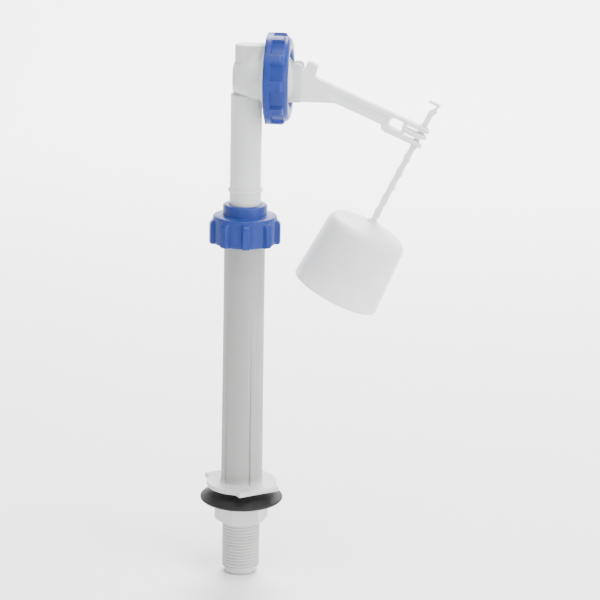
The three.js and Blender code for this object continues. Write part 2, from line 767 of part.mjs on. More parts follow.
// A straight lever with a shallow rail under its outer end, a window behind the stem and two slots that
// split the outer end into springy fingers round the stem.
function floatArm() {
  const root = plate([
    [24.2, ROOT_BOTTOM_Z + 2.5],
    [26.4, ROOT_BOTTOM_Z],
    [46.2, ROOT_BOTTOM_Z],
    onArm(16, -ARM_DEPTH),
    onArm(16, 0),
    onArm(0, 0),
    onArm(-0.8, 6),
    onArm(-5, 6.6),
    onArm(-6.4, 5.9),
    onArm(-6.7, 0.9),
    [28.4, 233.9],
    [24.2, 233.6],
  ], -ARM_HALF_Y, ARM_HALF_Y);
  const lever = armPlate([
    [14, 0],
    [14, -ARM_DEPTH],
    [42.5, -ARM_DEPTH],
    [43.3, -RAIL_DEPTH + 0.4],
    [44.4, -RAIL_DEPTH],
    [ARM_LENGTH - 0.6, -RAIL_DEPTH],
    [ARM_LENGTH, -1.2],
    [ARM_LENGTH - 1.7, 0],
  ]);
  const window = armPlate([...arc(48.5, -4.6, 2.8, 90, 270, 8), [53.5, -7.4], [52.4, -1.8]], 8);
  const upperSlot = armPlate([[55, -2.4], [55, -4], [70, -4], [70, -2.4]], 8);
  const lowerSlot = armPlate([[55, -6.8], [55, -8.5], [70, -8.5], [70, -6.8]], 8);
  const fingerGap = armPlate([[64.6, -5.9], [70, -5.9], [70, -9.3], [64.6, -9.3]], 8);
  const stemWay = plate([onStem(-STEM_WAY, 40), onStem(STEM_WAY, 40), onStem(STEM_WAY, 66),
    onStem(-STEM_WAY, 66)], -STEM_HALF_Y - 0.35, STEM_HALF_Y + 0.35);
  const pinHole = bar([PIVOT_X, -8, PIVOT_Z], [PIVOT_X, 8, PIVOT_Z], PIVOT_R + GAP);
  const pad = pilotPadLine();
  const padSocket = bar(pad(-1), pad(2.5), PAD_R + GAP);
  const cuts = [window, upperSlot, lowerSlot, fingerGap, stemWay, pinHole, padSocket];
  return united([root, lever]).subtract(united(cuts));
}

// The pilot pad meets the nozzle squarely when the arm has risen, so at rest it leans back.
// The returned function gives a point on the pad's axis at a depth behind its face.
function pilotPadLine() {
  const angle = radians(CLOSING_ANGLE);
  const closedX = PILOT_TIP_X + GAP - PIVOT_X;
  const closedZ = PILOT_Z - PIVOT_Z;
  return (depth) => {
    const x = closedX + depth;
    return [
      PIVOT_X + x * Math.cos(angle) + closedZ * Math.sin(angle),
      0,
      PIVOT_Z - x * Math.sin(angle) + closedZ * Math.cos(angle),
    ];
  };
}

function pilotSeal() {
  const pad = pilotPadLine();
  return bar(pad(0), pad(2.2), PAD_R);
}

// ---- float ----

// Toothed stem with a stop hook at the top and its foot in the float's socket.
function floatStem() {
  const right = [];
  const left = [];
  const tipW = STEM_HALF_WIDTH + TOOTH_DEPTH;
  for (let s = FIRST_TOOTH; s < STEM_LENGTH - TOOTH_PITCH; s += TOOTH_PITCH) {
    const middle = s + TOOTH_PITCH / 2;
    right.push([STEM_HALF_WIDTH, s], [tipW, s + 0.5], [STEM_HALF_WIDTH, s + 4]);
    left.push([-STEM_HALF_WIDTH, middle - 4], [-tipW, middle - 0.5], [-STEM_HALF_WIDTH, middle]);
  }
  const hook = [
    [STEM_HALF_WIDTH, STEM_LENGTH - 2.2],
    [2.6, STEM_LENGTH - 0.6],
    [2.6, STEM_LENGTH + 0.6],
    [1.7, STEM_LENGTH + 1.4],
    [2.8, STEM_LENGTH + 4.6],
    [-3.9, STEM_LENGTH + 4.4],
    [-3.9, STEM_LENGTH + 3.1],
    [1.2, STEM_LENGTH + 3.2],
    [0.2, STEM_LENGTH + 1.2],
    [-STEM_HALF_WIDTH, STEM_LENGTH - 1],
  ];
  const outline = [[-STEM_HALF_WIDTH, -6.5], [STEM_HALF_WIDTH, -6.5], ...right, ...hook, ...left.reverse()];
  return plate(outline.map(([w, s]) => onStem(w, s)), -STEM_HALF_Y, STEM_HALF_Y);
}

// Inverted cup, open below, with a socket for the stem in its crown.
function floatCup() {
  const shoulder = FLOAT_TOP_R - 4.5;
  const outer = turned([
    [0, -FLOAT_HEIGHT],
    [FLOAT_RIM_R, -FLOAT_HEIGHT],
    ...arc(shoulder, -8.4, 4.5, 0, 75, 4),
    [9, -1.6],
    [0, 0],
  ]);
  const inner = turned([
    [0, -FLOAT_HEIGHT - 1],
    [FLOAT_RIM_R - FLOAT_WALL, -FLOAT_HEIGHT - 1],
    ...arc(shoulder, -8.4, 4.5 - FLOAT_WALL, 0, 75, 4),
    [9, -1.6 - FLOAT_WALL],
    [0, -FLOAT_WALL],
  ]);
  const boss = turned([[0, -8.2], [3.4, -8.2], [2.9, 0.7], [0, 0.7]], SMALL);
  const socket = box([-STEM_HALF_WIDTH - GAP, -STEM_HALF_Y - GAP, -6.9],
    [STEM_HALF_WIDTH + GAP, STEM_HALF_Y + GAP, 4]);
  return placeOnStem(outer.subtract(inner).add(boss).subtract(socket));
}

// ---- materials and assembly ----

function finish(color, roughness) {
  return new THREE.MeshStandardMaterial({ color, roughness, metalness: 0 });
}

const white = finish(0xd9dadb, 0.5);
const columnWhite = finish(0xc6c8c8, 0.55);
const milky = finish(0xdfe1e3, 0.4);
const blue = finish(0x4a69b4, 0.4);
const rubber = finish(0x35363a, 0.8);
const steel = new THREE.MeshStandardMaterial({ color: 0xb0b2b5, roughness: 0.3, metalness: 1 });

const pieces = [
  ['lower_column', lowerColumn, columnWhite],
  ['standpipe', standpipe, white],
  ['inlet_filter', inletFilter, milky],
  ['flow_restrictor', flowRestrictor, blue],
  ['seal_washer', sealWasher, rubber],
  ['backnut', backnut, columnWhite],
  ['grip_collet', gripCollet, white],
  ['collar_nut', collarNut, blue],
  ['supply_seal', supplySeal, rubber],
  ['supply_tube', supplyTube, white],
  ['riser_head', riserHead, white],
  ['riser_guide_ring', riserGuideRing, white],
  ['diaphragm', diaphragm, rubber],
  ['metering_bush', meteringBush, white],
  ['metering_pin', meteringPin, steel],
  ['diaphragm_cover', diaphragmCover, white],
  ['pivot_pin', pivotPin, white],
  ['cap_nut', capNut, blue],
  ['float_arm', floatArm, milky],
  ['pilot_seal', pilotSeal, rubber],
  ['float_stem', floatStem, milky],
  ['float_cup', floatCup, milky],
];

const fillValve = new THREE.Group();
for (const [name, make, material] of pieces) {
  const mesh = new THREE.Mesh(geometryOf(make()), material);
  mesh.name = name;
  fillValve.add(mesh);
}

export default fillValve;
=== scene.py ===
"""Looks for the toilet fill valve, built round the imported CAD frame.

Its shapes are given in millimetres, and its materials, stage and camera in metres.
"""

import json
import math

import bmesh
import bpy
from mathutils import Matrix, Vector


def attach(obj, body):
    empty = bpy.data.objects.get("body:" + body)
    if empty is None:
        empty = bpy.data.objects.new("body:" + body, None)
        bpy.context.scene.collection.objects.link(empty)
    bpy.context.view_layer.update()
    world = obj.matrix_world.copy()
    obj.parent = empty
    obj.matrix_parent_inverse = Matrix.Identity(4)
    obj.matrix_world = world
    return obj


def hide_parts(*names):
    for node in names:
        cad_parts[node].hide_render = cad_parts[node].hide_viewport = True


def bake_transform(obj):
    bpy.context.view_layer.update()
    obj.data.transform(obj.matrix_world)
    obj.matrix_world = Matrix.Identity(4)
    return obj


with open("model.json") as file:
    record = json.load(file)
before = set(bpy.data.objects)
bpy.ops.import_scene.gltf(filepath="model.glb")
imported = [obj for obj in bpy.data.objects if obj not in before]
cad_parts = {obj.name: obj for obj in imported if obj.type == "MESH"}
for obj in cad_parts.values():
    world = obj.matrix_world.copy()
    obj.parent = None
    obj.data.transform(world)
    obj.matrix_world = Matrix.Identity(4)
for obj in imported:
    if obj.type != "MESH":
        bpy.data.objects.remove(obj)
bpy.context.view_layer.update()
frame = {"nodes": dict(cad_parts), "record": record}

MM = 0.001
ARC_STEPS = 6
SHARP_ANGLE = math.radians(38)
RIM_ANGLE = 1.2

# ---- sizes, the same as the CAD part's ----

THREAD_CREST_R = 10.4775
THREAD_ROOT_R = 9.3155
THREAD_PITCH = 1.814
TAIL_END_Z = -50
TAIL_BORE_R = 7
FLANGE_R = 19.35
FLANGE_T = 2.7
TAB_REACH = 19.7
TAB_HALF_WIDTH = 12.3
RIB_ANGLE = 36
RIB_HALF_WIDTH = 1.4
RIB_TOP_Z = 97
COLUMN_FOOT_R = 11.45
COLUMN_R = 11.1
RIB_FOOT_R = 12.45
COLUMN_BORE_R = 9.3
COLUMN_TOP_Z = 150
COLUMN_THREAD_Z = 139.5
COLUMN_THREAD_PITCH = 2.5
COLUMN_THREAD_HEIGHT = 1.25
WINDOW_ANGLES = (45, 122)
WASHER_R = 22.8
BACKNUT_FLATS = 26
BACKNUT_FIRST_CORNER = math.radians(15)
BACKNUT_CORNER_R = 14.95
BACKNUT_BORE_R = 10.8
BACKNUT_BOTTOM_Z = -19.8
BACKNUT_TOP_Z = -10.3
COLLAR_BOTTOM_Z = 138
COLLAR_TOP_Z = 159.3
COLLAR_R = 17.3
COLLAR_RIB_R = 19.4
COLLAR_RIBS = 9
COLLAR_NECK_R = 12
RISER_BOTTOM_Z = 22
RISER_R = 8.45
RISER_BORE_R = 7
NECK_BORE_R = 6.3
GROOVE_R = 7.9
GROOVE_BOTTOM_Z = 24
GROOVE_TOP_Z = 28
STOP_RING_Z = 166.3
STOP_RING_R = 9.25
HEAD_TOP_Z = 245.6
CAP_AXIS_Z = 227.6
BARREL_R = 12.2
HEAD_HALF_Y = 6.4
DISH_R = 19.3
CAP_REAR_X = 10.8
CAP_FRONT_X = 23.7
CAP_R = 24.3
CAP_VALLEY_R = 22.6
CAP_RIBS = 10
CAP_HOLE_R = 15.5
COVER_R = 19.2
DIAPHRAGM_SECTORS = 8
PIVOT = (26.3, 219.4)
PIVOT_R = 1.2
EAR_INNER_Y = 3.6
EAR_OUTER_Y = 6
EAR_RIGHT_X = 30.15
EAR_TOP_Z = 236.85
EAR_POST_WIDTH = 5.9
EAR_SHOULDER_Z = 231.5
SLOT_REACH = 14.9
PIN_HALF_LENGTH = 4.9
PILOT_Z = 229.4
PAD_FACE_X = 20.9
ARM_SLOPE = math.radians(23.2)
ARM_TOP = (36.2, 229.4)
ARM_HALF_Y = 3.1
ARM_DEPTH = 8
RAIL_DEPTH = 10.8
ARM_LENGTH = 67.2
ROOT_BOTTOM_Z = 216
CLOSING_ANGLE = math.radians(13)
STEM_TILT = math.radians(26)
FLOAT_APEX = (68.8, 152.1)
STEM_LENGTH = 68.2
STEM_TEETH = 7
STEM_TOOTH_PITCH = 8.4
STEM_HALF_WIDTH = 1.5
STEM_HALF_Y = 1.2
FLOAT_TOP_R = 22.1
FLOAT_RIM_R = 24.3
FLOAT_HEIGHT = 44
FLOAT_WALL = 1.3


# ---- mesh helpers ----


def smoothstep(x, low, high):
    t = min(1.0, max(0.0, (x - low) / (high - low)))
    return t * t * (3 - 2 * t)


def filleted(corners, closed=True):
    """Corners as (a, b) or (a, b, fillet) turned into points, with each fillet drawn as a short curve."""
    points = []
    count = len(corners)
    for i, corner in enumerate(corners):
        here = Vector(corner[:2])
        at_end = not closed and i in (0, count - 1)
        if len(corner) < 3 or at_end:
            points.append(here)
            continue
        before = Vector(corners[i - 1][:2]) - here
        after = Vector(corners[(i + 1) % count][:2]) - here
        half = before.angle(after) / 2
        reach = min(corner[2] / math.tan(half), 0.48 * before.length, 0.48 * after.length)
        start = here + before.normalized() * reach
        end = here + after.normalized() * reach
        for k in range(ARC_STEPS + 1):
            t = k / ARC_STEPS
            points.append(start * (1 - t) ** 2 + here * 2 * t * (1 - t) + end * t * t)
    return [(p.x, p.y) for p in points]


def about_z(radius, angle, along):
    return (radius * math.cos(angle), radius * math.sin(angle), along)


def about_cap(radius, angle, along):
    """The cap nut's axis runs along +X."""
    return (along, radius * math.cos(angle), CAP_AXIS_Z + radius * math.sin(angle))


def on_stem(across, y, up):
    """A point given from the float's top, along and across the tilted stem."""
    sin, cos = math.sin(STEM_TILT), math.cos(STEM_TILT)
    return (FLOAT_APEX[0] + up * sin + across * cos, y, FLOAT_APEX[1] + up * cos - across * sin)


def about_stem(radius, angle, along):
    return on_stem(radius * math.cos(angle), radius * math.sin(angle), along)


def on_arm(u, v):
    """A point u along the lever's top edge and v above it, as (x, z)."""
    sin, cos = math.sin(ARM_SLOPE), math.cos(ARM_SLOPE)
    return (ARM_TOP[0] + u * cos + v * sin, ARM_TOP[1] - u * sin + v * cos)


def even_angles(count):
    return [2 * math.pi * i / count for i in range(count)]


def ribbed_angles(centres, half_width, radius, edge, between):
    """Angles packed closely across each rib's two edges and evenly between the ribs."""
    offsets = [half_width + edge * k for k in (-1.4, -0.9, -0.5, -0.15, 0.15, 0.5, 0.9, 1.4)]
    near = sorted([-o for o in offsets] + [0] + offsets)
    angles = []
    for i, centre in enumerate(centres):
        following = centres[(i + 1) % len(centres)] + (2 * math.pi if i == len(centres) - 1 else 0)
        angles += [centre + o / radius for o in near]
        start = centre + near[-1] / radius
        end = following + near[0] / radius
        angles += [start + (end - start) * k / (between + 1) for k in range(1, between + 1)]
    return angles


def rib_share(angle, centres, half_width, radius, edge):
    """How far a point is up on a rib, from 0 between the ribs to 1 on top of one."""
    nearest = min(abs(math.remainder(angle - c, 2 * math.pi)) for c in centres)
    return 1 - smoothstep(nearest * radius, half_width - edge, half_width + edge)


def shade(bm):
    """Smooth faces that stay crisp along the sharper edges."""
    for face in bm.faces:
        face.smooth = True
    for edge in bm.edges:
        edge.smooth = edge.calc_face_angle(0) < SHARP_ANGLE


def finish_mesh(name, bm):
    bmesh.ops.remove_doubles(bm, verts=bm.verts, dist=1e-4)
    bmesh.ops.recalc_face_normals(bm, faces=bm.faces)
    shade(bm)
    bmesh.ops.scale(bm, vec=(MM, MM, MM), verts=bm.verts)
    mesh = bpy.data.meshes.new(name)
    bm.to_mesh(mesh)
    bm.free()
    obj = bpy.data.objects.new(name, mesh)
    bpy.context.scene.collection.objects.link(obj)
    return obj


def lofted(name, rings, closed=True):
    """A skin through rings of points. Closed joins the last ring to the first, as round a tube's wall."""
    bm = bmesh.new()
    loops = [[bm.verts.new(p) for p in ring] for ring in rings]
    pairs = list(zip(loops, loops[1:]))
    if closed:
        pairs.append((loops[-1], loops[0]))
    for low, high in pairs:
        for i in range(len(low)):
            k = (i + 1) % len(low)
            bm.faces.new((low[i], low[k], high[k], high[i]))
    if not closed:
        bm.faces.new(loops[0])
        bm.faces.new(loops[-1])
    return finish_mesh(name, bm)


def turned(name, corners, place=about_z, count=96, closed=True):
    """A profile of (radius, along) corners turned about an axis."""
    profile = filleted(corners, closed)
    rings = [[place(r, a, s) for a in even_angles(count)] for r, s in profile]
    return lofted(name, rings, closed)


def is_rim(edge, half_y):
    """Whether an edge runs round one of a plate's two flat faces."""
    first, second = (vert.co.y for vert in edge.verts)
    in_face = abs(first - second) < 1e-6 and abs(abs(first) - half_y) < 1e-6
    return in_face and edge.calc_face_angle(0) > RIM_ANGLE


def plate(name, corners, half_y, bevel, holes=()):
    """An outline of (x, z) corners made into a plate with rounded rims. Holes are cut through it."""
    bm = bmesh.new()
    edges = []
    for outline in [corners, *holes]:
        loop = [bm.verts.new((x, -half_y, z)) for x, z in filleted(outline)]
        edges += [bm.edges.new((loop[i], loop[(i + 1) % len(loop)])) for i in range(len(loop))]
    bmesh.ops.triangle_fill(bm, edges=edges, use_beauty=True)
    sides = bmesh.ops.extrude_face_region(bm, geom=list(bm.faces))
    far_side = [v for v in sides["geom"] if isinstance(v, bmesh.types.BMVert)]
    bmesh.ops.translate(bm, verts=far_side, vec=(0, 2 * half_y, 0))
    bmesh.ops.recalc_face_normals(bm, faces=bm.faces)
    rims = [e for e in bm.edges if is_rim(e, half_y)]
    bmesh.ops.bevel(bm, geom=rims, offset=bevel, segments=3, profile=0.5, affect="EDGES",
                    clamp_overlap=False)
    return finish_mesh(name, bm)


def moved(obj, x=0.0, y=0.0, z=0.0):
    obj.data.transform(Matrix.Translation((x * MM, y * MM, z * MM)))
    return obj


def rod(name, start, end, radius, chamfer=0.3, count=48):
    """A round bar between two points with softened ends."""
    start, end = Vector(start), Vector(end)
    along = end - start
    turn = Vector((0, 0, 1)).rotation_difference(along)
    length = along.length
    profile = [(0.01, 0), (radius, 0, chamfer), (radius, length, chamfer), (0.01, length)]
    rings = []
    for r, s in filleted(profile, False):
        rings.append([start + turn @ Vector(about_z(r, a, s)) for a in even_angles(count)])
    return lofted(name, rings, False)


def block(name, low, high):
    """A square-edged solid for cutting with."""
    xs, ys, zs = zip(low, high)
    rings = [[(xs[0], ys[0], z), (xs[1], ys[0], z), (xs[1], ys[1], z), (xs[0], ys[1], z)] for z in zs]
    return lofted(name, rings, False)


def combine(obj, other, operation):
    """Joins the other solid to obj or cuts it away, and removes it."""
    modifier = obj.modifiers.new("combine", "BOOLEAN")
    modifier.operation = operation
    modifier.solver = "EXACT"
    modifier.object = other
    evaluated = obj.evaluated_get(bpy.context.evaluated_depsgraph_get())
    result = bpy.data.meshes.new_from_object(evaluated)
    obj.modifiers.clear()
    obj.data = result
    bpy.data.objects.remove(other)
    bm = bmesh.new()
    bm.from_mesh(result)
    bmesh.ops.dissolve_degenerate(bm, dist=1e-7, edges=bm.edges)
    shade(bm)
    bm.to_mesh(result)
    bm.free()
    return obj


def cut(obj, other):
    return combine(obj, other, "DIFFERENCE")


def add(obj, other):
    return combine(obj, other, "UNION")


# ---- materials ----

# Heights in metres over which the painted lighter tone at the column's foot gives way to the column's own
# tone.
PAINTED_LIGHT_FADE = (0.0025, 0.006)


class Nodes:
    """Short calls for making a material's nodes."""

    def __init__(self, name):
        self.material = bpy.data.materials.new(name)
        self.material.use_nodes = True
        self.tree = self.material.node_tree
        self.tree.nodes.clear()
        self.output = self.tree.nodes.new("ShaderNodeOutputMaterial")
        self.coordinates = self.tree.nodes.new("ShaderNodeTexCoord")

    def link(self, source, target):
        self.tree.links.new(source, target)

    def noise(self, scale, detail=3.0, stretch=None):
        node = self.tree.nodes.new("ShaderNodeTexNoise")
        node.inputs["Scale"].default_value = scale
        node.inputs["Detail"].default_value = detail
        source = self.coordinates.outputs["Object"]
        if stretch:
            mapping = self.tree.nodes.new("ShaderNodeMapping")
            mapping.inputs["Scale"].default_value = stretch
            self.link(source, mapping.inputs["Vector"])
            source = mapping.outputs["Vector"]
        self.link(source, node.inputs["Vector"])
        return node.outputs["Fac"]

    def mapped(self, source, from_range, to_range):
        node = self.tree.nodes.new("ShaderNodeMapRange")
        node.inputs["From Min"].default_value, node.inputs["From Max"].default_value = from_range
        node.inputs["To Min"].default_value, node.inputs["To Max"].default_value = to_range
        self.link(source, node.inputs["Value"])
        return node.outputs["Result"]

    def noise_between(self, noise, low, high):
        """Spreads the middle of a noise, where most of it lies, from low to high."""
        return self.mapped(noise, (0.3, 0.7), (low, high))

    def height_share(self, low, high):
        """0 below one height in metres and 1 above the other."""
        split = self.tree.nodes.new("ShaderNodeSeparateXYZ")
        self.link(self.coordinates.outputs["Object"], split.inputs["Vector"])
        return self.mapped(split.outputs["Z"], (low, high), (0, 1))

    def mixed(self, share, first, second):
        """Two colours mixed by an output. Each colour is three numbers or an output itself."""
        node = self.tree.nodes.new("ShaderNodeMix")
        node.data_type = "RGBA"
        colour_in = [s for s in node.inputs if s.type == "RGBA"]
        for socket, colour in zip(colour_in, (first, second)):
            if isinstance(colour, tuple):
                socket.default_value = (*colour, 1)
            else:
                self.link(colour, socket)
        self.link(share, node.inputs["Factor"])
        return [s for s in node.outputs if s.type == "RGBA"][0]

    def bump(self, source, height):
        node = self.tree.nodes.new("ShaderNodeBump")
        node.inputs["Strength"].default_value = 1.0
        node.inputs["Distance"].default_value = height
        self.link(source, node.inputs["Height"])
        return node.outputs["Normal"]


def two_shades(colour, spread):
    return [tuple(min(1, c * (1 + change)) for c in colour) for change in (-spread, spread)]


def seen_partly_through(nodes, surface, share):
    clear = nodes.tree.nodes.new("ShaderNodeBsdfTransparent")
    blend = nodes.tree.nodes.new("ShaderNodeMixShader")
    blend.inputs["Fac"].default_value = share
    nodes.link(surface, blend.inputs[1])
    nodes.link(clear.outputs["BSDF"], blend.inputs[2])
    return blend.outputs["Shader"]


def plastic(name, colour, roughness, grain=0.00002, spread=0.06, scatter=0.0, seen_through=0.0, shine=0.5,
            painted_light_foot_colour=None):
    """Moulded plastic or rubber: a faint mottle in colour and gloss and a fine moulded grain. The foot
    colour is painted
    light: a lighter tone below the fade heights, on the flange, tail and backnut, for the stronger light
    falling there."""
    nodes = Nodes(name)
    shader = nodes.tree.nodes.new("ShaderNodeBsdfPrincipled")
    mottle = nodes.noise_between(nodes.noise(90), 0, 1)
    whole = nodes.mixed(mottle, *two_shades(colour, spread))
    # Painted light: below these heights the colour turns to a lighter copy, for the stronger light on the
    # flange, tail and backnut.
    if painted_light_foot_colour:
        foot = nodes.mixed(mottle, *two_shades(painted_light_foot_colour, spread))
        whole = nodes.mixed(nodes.height_share(*PAINTED_LIGHT_FADE), foot, whole)
    nodes.link(whole, shader.inputs["Base Color"])
    gloss = nodes.noise_between(nodes.noise(420), roughness - 0.05, roughness + 0.05)
    nodes.link(gloss, shader.inputs["Roughness"])
    nodes.link(nodes.bump(nodes.noise(2600, 2.0), grain), shader.inputs["Normal"])
    shader.inputs["IOR"].default_value = 1.49
    shader.inputs["Specular IOR Level"].default_value = shine
    if scatter:
        shader.inputs["Subsurface Weight"].default_value = scatter
        shader.inputs["Subsurface Radius"].default_value = (1, 1, 1)
        shader.inputs["Subsurface Scale"].default_value = 0.0015
    surface = shader.outputs["BSDF"]
    if seen_through:
        surface = seen_partly_through(nodes, surface, seen_through)
    nodes.link(surface, nodes.output.inputs["Surface"])
    return nodes.material


def wire_steel(name):
    nodes = Nodes(name)
    shader = nodes.tree.nodes.new("ShaderNodeBsdfPrincipled")
    shader.inputs["Metallic"].default_value = 1
    brushed = nodes.noise(900, 4.0, (1, 8, 8))
    shade_share = nodes.noise_between(brushed, 0, 1)
    colour = nodes.mixed(shade_share, (0.46, 0.46, 0.47), (0.56, 0.56, 0.57))
    nodes.link(colour, shader.inputs["Base Color"])
    nodes.link(nodes.noise_between(brushed, 0.22, 0.38), shader.inputs["Roughness"])
    nodes.link(nodes.bump(brushed, 0.00001), shader.inputs["Normal"])
    nodes.link(shader.outputs["BSDF"], nodes.output.inputs["Surface"])
    return nodes.material


PLASTICS = {
    # column_plastic's lighter foot colour is painted light, for the stronger light on its flange, tail and
    # backnut.
    "column_plastic": dict(colour=(0.30, 0.30, 0.295), roughness=0.5, spread=0.03, scatter=0.15, shine=0.4,
                           painted_light_foot_colour=(0.54, 0.54, 0.535)),
    "white_plastic": dict(colour=(0.60, 0.61, 0.61), roughness=0.42, spread=0.03, scatter=0.25),
    "milky_plastic": dict(colour=(0.74, 0.75, 0.76), roughness=0.36, spread=0.03, scatter=0.4),
    "float_plastic": dict(colour=(0.78, 0.79, 0.80), roughness=0.38, spread=0.03, seen_through=0.22),
    "blue_plastic": dict(colour=(0.021, 0.040, 0.200), roughness=0.32, spread=0.08, shine=0.12),
    "black_rubber": dict(colour=(0.010, 0.010, 0.010), roughness=0.6, grain=0.00003, spread=0.2, shine=0.25),
}
FINISHES = {name: plastic(name, **look) for name, look in PLASTICS.items()}
FINISHES["pin_steel"] = wire_steel("pin_steel")


def dress(obj, slot):
    obj.data.materials.clear()
    obj.data.materials.append(FINISHES[slot])


def piece(obj, body, slot, *nodes):
    """Gives a built piece its body, finish and the CAD nodes it stands for."""
    dress(obj, slot)
    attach(obj, body)
    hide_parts(*nodes)


# ---- tail, flange and column ----


def thread_height(turn, end_fade):
    ridge = 1 - abs(2 * (turn % 1) - 1)
    return end_fade * smoothstep(ridge, 0.08, 0.92)


def threaded_tail():
    """The tail's skin, with a helical ridge that fades out at both ends."""
    angles = even_angles(72)
    steps = 10
    low = TAIL_END_Z + 1.6
    rows = int(-low / THREAD_PITCH * steps)
    end_corners = [(TAIL_BORE_R, TAIL_END_Z, 0.3), (8.9, TAIL_END_Z, 0.8), (THREAD_ROOT_R, low - 0.6, 0.2),
                   (THREAD_ROOT_R, low)]
    rings = [[about_z(r, a, z) for a in angles] for r, z in filleted(end_corners, False)[1:-1]]
    for k in range(rows + 1):
        z = low + k * THREAD_PITCH / steps
        fade = smoothstep(z, low, low + 2) * (1 - smoothstep(z, -3, -1.5))
        ring = []
        for a in angles:
            height = thread_height(z / THREAD_PITCH - a / (2 * math.pi), fade)
            ring.append(about_z(THREAD_ROOT_R + height * (THREAD_CREST_R - THREAD_ROOT_R), a, z))
        rings.append(ring)
    for r, z in ((THREAD_ROOT_R, 1), (TAIL_BORE_R, 1), (TAIL_BORE_R, TAIL_END_Z + 0.3)):
        rings.append([about_z(r, a, z) for a in angles])
    return lofted("tail", rings)


def flange_radius(angle):
    """The outline is a disc with two square tabs on opposite sides."""
    local = angle - math.radians(RIB_ANGLE - 90)
    across = abs(math.cos(local)) + 1e-9
    along = abs(math.sin(local)) + 1e-9
    return max(FLANGE_R, min(TAB_REACH / across, TAB_HALF_WIDTH / along))


def flange_angles():
    base = math.radians(RIB_ANGLE - 90)
    corner = math.atan2(TAB_HALF_WIDTH, TAB_REACH)
    meets = math.asin(TAB_HALF_WIDTH / FLANGE_R)
    special = []
    for half_turn in (0, math.pi):
        for exact in (corner, meets):
            for nudge in (-0.02, -0.008, 0, 0.008, 0.02):
                special += [base + half_turn + exact + nudge, base + half_turn - exact + nudge]
    return sorted({round(a % (2 * math.pi), 6) for a in special + even_angles(120)})


def flange():
    angles = flange_angles()
    edge = filleted([(0, 0), (0, FLANGE_T, 0.5), (-6, FLANGE_T)], False)
    rows = [(-6, 0), (-0.3, 0), (0, 0.3)] + [(i, z) for i, z in edge if z > 0.3]
    rings = []
    for inset, z in rows:
        rings.append([about_z(flange_radius(a) + inset, a, z) for a in angles])
    for z in (FLANGE_T, 0):
        rings.append([about_z(9, a, z) for a in angles])
    return lofted("flange", rings)


def column_ring(angles, centres, z):
    """The outline at one height: four panels with a groove beside each rib, all tapering to a plain tube."""
    share = min(1, max(0, (z - FLANGE_T) / (RIB_TOP_Z - FLANGE_T)))
    foot = 0.2 * (1 - smoothstep(z, FLANGE_T, FLANGE_T + 0.6))
    panel = COLUMN_FOOT_R + (COLUMN_R - COLUMN_FOOT_R) * share + foot
    rib = RIB_FOOT_R + (COLUMN_R - RIB_FOOT_R) * share + foot
    ring = []
    for a in angles:
        nearest = min(abs(math.remainder(a - c, 2 * math.pi)) for c in centres) * COLUMN_FOOT_R
        groove = 0.3 * (1 - 0.5 * share) * math.exp(-(((nearest - RIB_HALF_WIDTH - 0.35) / 0.3) ** 2))
        up = rib_share(a, centres, RIB_HALF_WIDTH, COLUMN_FOOT_R, 0.3)
        ring.append(about_z(panel + (rib - panel) * up - groove * (z < RIB_TOP_Z + 1), a, z))
    return ring


def column():
    centres = [math.radians(RIB_ANGLE + 90 * i) for i in range(4)]
    angles = ribbed_angles(centres, RIB_HALF_WIDTH, COLUMN_FOOT_R, 0.3, 12)
    heights = [1.5, 2.2, 2.7, 3.0, 3.4, 4, 5, 8, 14, 25, 40, 55, 70, 80, 88, 93, RIB_TOP_Z, 110, 125, 139]
    rings = [column_ring(angles, centres, z) for z in heights]
    for k in range(33):
        z = COLUMN_THREAD_Z + k * COLUMN_THREAD_PITCH / 8
        fade = smoothstep(z, COLUMN_THREAD_Z, COLUMN_THREAD_Z + 1) * (1 - smoothstep(z, 148, 149.3))
        height = COLUMN_THREAD_HEIGHT * thread_height(z / COLUMN_THREAD_PITCH, fade)
        rings.append([about_z(COLUMN_R + height, a, z) for a in angles])
    top_and_bore = [(COLUMN_R, 149.7), (COLUMN_R - 0.3, COLUMN_TOP_Z), (10.6, COLUMN_TOP_Z),
                    (COLUMN_BORE_R, 146), (COLUMN_BORE_R, 1.5)]
    rings += [[about_z(r, a, z) for a in angles] for r, z in top_and_bore]
    return lofted("column", rings)


def lower_column():
    whole = add(column(), flange())
    whole = add(whole, threaded_tail())
    for offset in WINDOW_ANGLES:
        window = block("window", (8, -4, 5.5), (14, 4, 14.5))
        window.data.transform(Matrix.Rotation(math.radians(RIB_ANGLE + offset), 4, "Z"))
        whole = cut(whole, window)
    whole.name = "threaded_column"
    piece(whole, "base", "column_plastic", "lower_column")


def washer():
    corners = [
        (10.78, -10, 0.2), (15.6, -10, 1.5), (21.8, -8.25, 0.9), (WASHER_R, -7.4, 0.7),
        (WASHER_R, -6.3, 0.8), (21.7, -5.8, 0.8), (17.4, -3.4, 6), (14.2, -0.3, 0.6), (10.78, -0.3, 0.2)]
    piece(turned("cone_washer", corners, count=128), "washer", "black_rubber", "seal_washer")


def hexagon_radius(angle, flats):
    local = (angle - BACKNUT_FIRST_CORNER) % (math.pi / 3) - math.pi / 6
    return flats / 2 / math.cos(local)


def backnut_angles():
    """Closer together near the hexagon's corners."""
    angles = []
    for i in range(6):
        corner = BACKNUT_FIRST_CORNER + math.radians(60 * i)
        angles += [corner + n for n in (0, 0.02, 0.05, 0.1)]
        angles += [corner + math.pi / 3 * k / 12 for k in range(2, 11)]
        angles += [corner + math.pi / 3 - n for n in (0.1, 0.05, 0.02)]
    return angles


